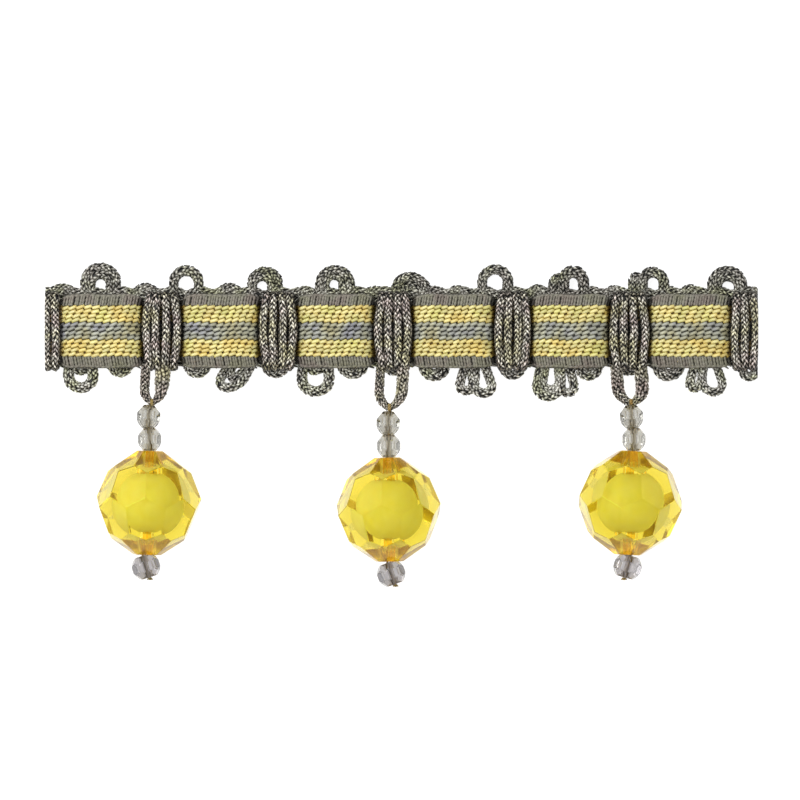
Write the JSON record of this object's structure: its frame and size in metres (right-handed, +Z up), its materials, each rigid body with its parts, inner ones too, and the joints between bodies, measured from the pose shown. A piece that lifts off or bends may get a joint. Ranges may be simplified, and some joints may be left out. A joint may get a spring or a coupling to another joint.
{
  "type": "beaded fringe trim",
  "caption": "Cut length of flat trimming: a striped woven ribbon wound with bars of knitted cord, cord loops along both edges, and faceted bead drops hanging from one edge.",
  "frame": {"origin": "under the middle of the whole trim, on the table it lies on", "axes": "+X along the trim, +Y across it from the bead drops to the tall loops, +Z up, out of the ribbon's face"},
  "size_m": [0.1284, 0.0586, 0.0181],
  "materials": {
    "ribbon": "woven in gold and grey stripes, slightly lustrous",
    "cord": "taupe knitted cord, matt",
    "amber_bead": "transparent yellow acrylic, polished facets",
    "core": "pale yellow, milky",
    "clear_bead": "clear acrylic, polished facets",
    "thread": "golden brown sewing thread"
  },
  "bodies": {
    "root": {"ribbon": "ribbon", "bar_1": "cord", "bar_2": "cord", "bar_3": "cord", "bar_4": "cord", "bar_5": "cord", "bar_6": "cord", "bar_7": "cord", "loops_top": "cord", "loops_bottom": "cord", "drop_1_bead_upper": "clear_bead", "drop_1_bead_lower": "clear_bead", "drop_1_bead_amber": "amber_bead", "drop_1_core": "core", "drop_1_bead_stop": "clear_bead", "drop_1_thread": "thread", "drop_2_bead_upper": "clear_bead", "drop_2_bead_lower": "clear_bead", "drop_2_bead_amber": "amber_bead", "drop_2_core": "core", "drop_2_bead_stop": "clear_bead", "drop_2_thread": "thread", "drop_3_bead_upper": "clear_bead", "drop_3_bead_lower": "clear_bead", "drop_3_bead_amber": "amber_bead", "drop_3_core": "core", "drop_3_bead_stop": "clear_bead", "drop_3_thread": "thread"}
  },
  "joints": []
}
